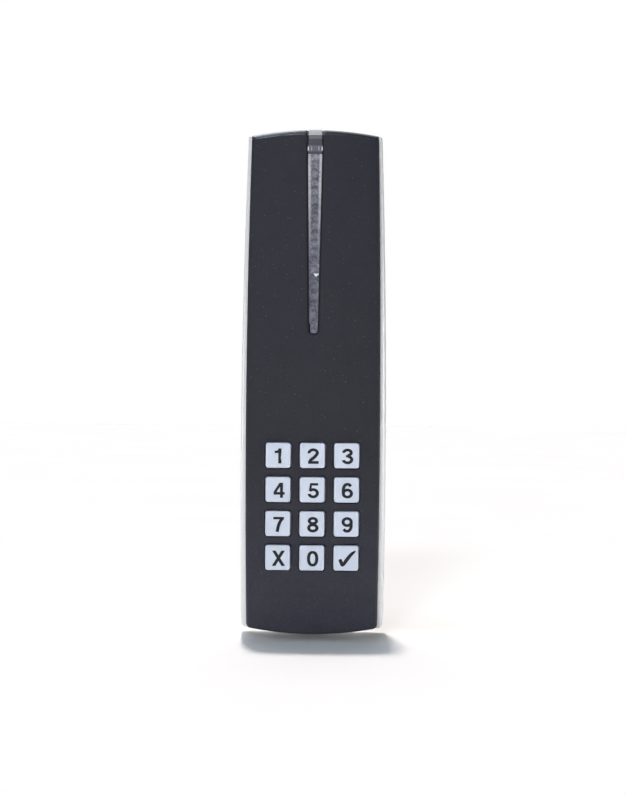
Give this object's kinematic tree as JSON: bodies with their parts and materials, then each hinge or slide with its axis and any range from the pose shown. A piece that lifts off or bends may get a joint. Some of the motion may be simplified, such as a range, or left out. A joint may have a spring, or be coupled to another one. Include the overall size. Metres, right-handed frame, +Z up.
{
  "type": "rfid card reader",
  "caption": "Slim wall-mounted card reader with a charcoal curved front, a silver rear housing, a tapered light pipe and a push-button keypad.",
  "frame": {"origin": "centre of the wall plate's back face, at half the reader's height", "axes": "+Z up, +Y into the wall, +X to the right as the user sees the front"},
  "size_m": [0.0444, 0.0222, 0.15],
  "materials": {
    "cover_charcoal": "fine matte texture",
    "housing_silver": "satin",
    "light_pipe": "translucent, frosted",
    "key_silicone": "translucent satin",
    "keypad_web": "translucent matte",
    "pill_carbon": "matte",
    "rubber_black": "matte",
    "plate_black": "fine texture",
    "board_green": "solder mask",
    "coil_copper": "enamelled copper wire",
    "led": "clear",
    "chip_black": "moulded",
    "can_metal": "bright",
    "connector_white": "moulded",
    "screw_steel": "zinc plated"
  },
  "bodies": {
    "case": {"rear_housing": "housing_silver", "front_cover": "cover_charcoal", "light_pipe": "light_pipe", "gasket": "rubber_black", "wall_plate": "plate_black", "cable_grommet": "rubber_black", "keypad_mat": "keypad_web", "main_board": "board_green", "antenna_coil": "coil_copper", "status_led_upper": "led", "status_led_lower": "led", "backlight_led_1": "led", "backlight_led_2": "led", "backlight_led_3": "led", "backlight_led_4": "led", "backlight_led_5": "led", "backlight_led_6": "led", "buzzer": "chip_black", "microcontroller": "chip_black", "rf_chip": "chip_black", "regulator": "chip_black", "capacitor": "can_metal", "crystal": "can_metal", "cable_connector": "connector_white", "case_screw_1": "screw_steel", "case_screw_2": "screw_steel", "case_screw_3": "screw_steel", "case_screw_4": "screw_steel", "board_screw_1": "screw_steel", "board_screw_2": "screw_steel", "board_screw_3": "screw_steel", "board_screw_4": "screw_steel", "lock_screw": "screw_steel"},
    "key_1_body": {"key_1": "key_silicone", "contact_pill_1": "pill_carbon"},
    "key_2_body": {"key_2": "key_silicone", "contact_pill_2": "pill_carbon"},
    "key_3_body": {"key_3": "key_silicone", "contact_pill_3": "pill_carbon"},
    "key_4_body": {"key_4": "key_silicone", "contact_pill_4": "pill_carbon"},
    "key_5_body": {"key_5": "key_silicone", "contact_pill_5": "pill_carbon"},
    "key_6_body": {"key_6": "key_silicone", "contact_pill_6": "pill_carbon"},
    "key_7_body": {"key_7": "key_silicone", "contact_pill_7": "pill_carbon"},
    "key_8_body": {"key_8": "key_silicone", "contact_pill_8": "pill_carbon"},
    "key_9_body": {"key_9": "key_silicone", "contact_pill_9": "pill_carbon"},
    "key_cancel_body": {"key_cancel": "key_silicone", "contact_pill_cancel": "pill_carbon"},
    "key_0_body": {"key_0": "key_silicone", "contact_pill_0": "pill_carbon"},
    "key_enter_body": {"key_enter": "key_silicone", "contact_pill_enter": "pill_carbon"}
  },
  "joints": [
    {"name": "key_1_press", "type": "slide", "parent": "case", "child": "key_1_body", "axis": [0, 1, 0], "range_m": [0, 0.001], "stiffness_N_per_m": 1000},
    {"name": "key_2_press", "type": "slide", "parent": "case", "child": "key_2_body", "axis": [0, 1, 0], "range_m": [0, 0.001], "stiffness_N_per_m": 1000},
    {"name": "key_3_press", "type": "slide", "parent": "case", "child": "key_3_body", "axis": [0, 1, 0], "range_m": [0, 0.001], "stiffness_N_per_m": 1000},
    {"name": "key_4_press", "type": "slide", "parent": "case", "child": "key_4_body", "axis": [0, 1, 0], "range_m": [0, 0.001], "stiffness_N_per_m": 1000},
    {"name": "key_5_press", "type": "slide", "parent": "case", "child": "key_5_body", "axis": [0, 1, 0], "range_m": [0, 0.001], "stiffness_N_per_m": 1000},
    {"name": "key_6_press", "type": "slide", "parent": "case", "child": "key_6_body", "axis": [0, 1, 0], "range_m": [0, 0.001], "stiffness_N_per_m": 1000},
    {"name": "key_7_press", "type": "slide", "parent": "case", "child": "key_7_body", "axis": [0, 1, 0], "range_m": [0, 0.001], "stiffness_N_per_m": 1000},
    {"name": "key_8_press", "type": "slide", "parent": "case", "child": "key_8_body", "axis": [0, 1, 0], "range_m": [0, 0.001], "stiffness_N_per_m": 1000},
    {"name": "key_9_press", "type": "slide", "parent": "case", "child": "key_9_body", "axis": [0, 1, 0], "range_m": [0, 0.001], "stiffness_N_per_m": 1000},
    {"name": "key_cancel_press", "type": "slide", "parent": "case", "child": "key_cancel_body", "axis": [0, 1, 0], "range_m": [0, 0.001], "stiffness_N_per_m": 1000},
    {"name": "key_0_press", "type": "slide", "parent": "case", "child": "key_0_body", "axis": [0, 1, 0], "range_m": [0, 0.001], "stiffness_N_per_m": 1000},
    {"name": "key_enter_press", "type": "slide", "parent": "case", "child": "key_enter_body", "axis": [0, 1, 0], "range_m": [0, 0.001], "stiffness_N_per_m": 1000}
  ]
}
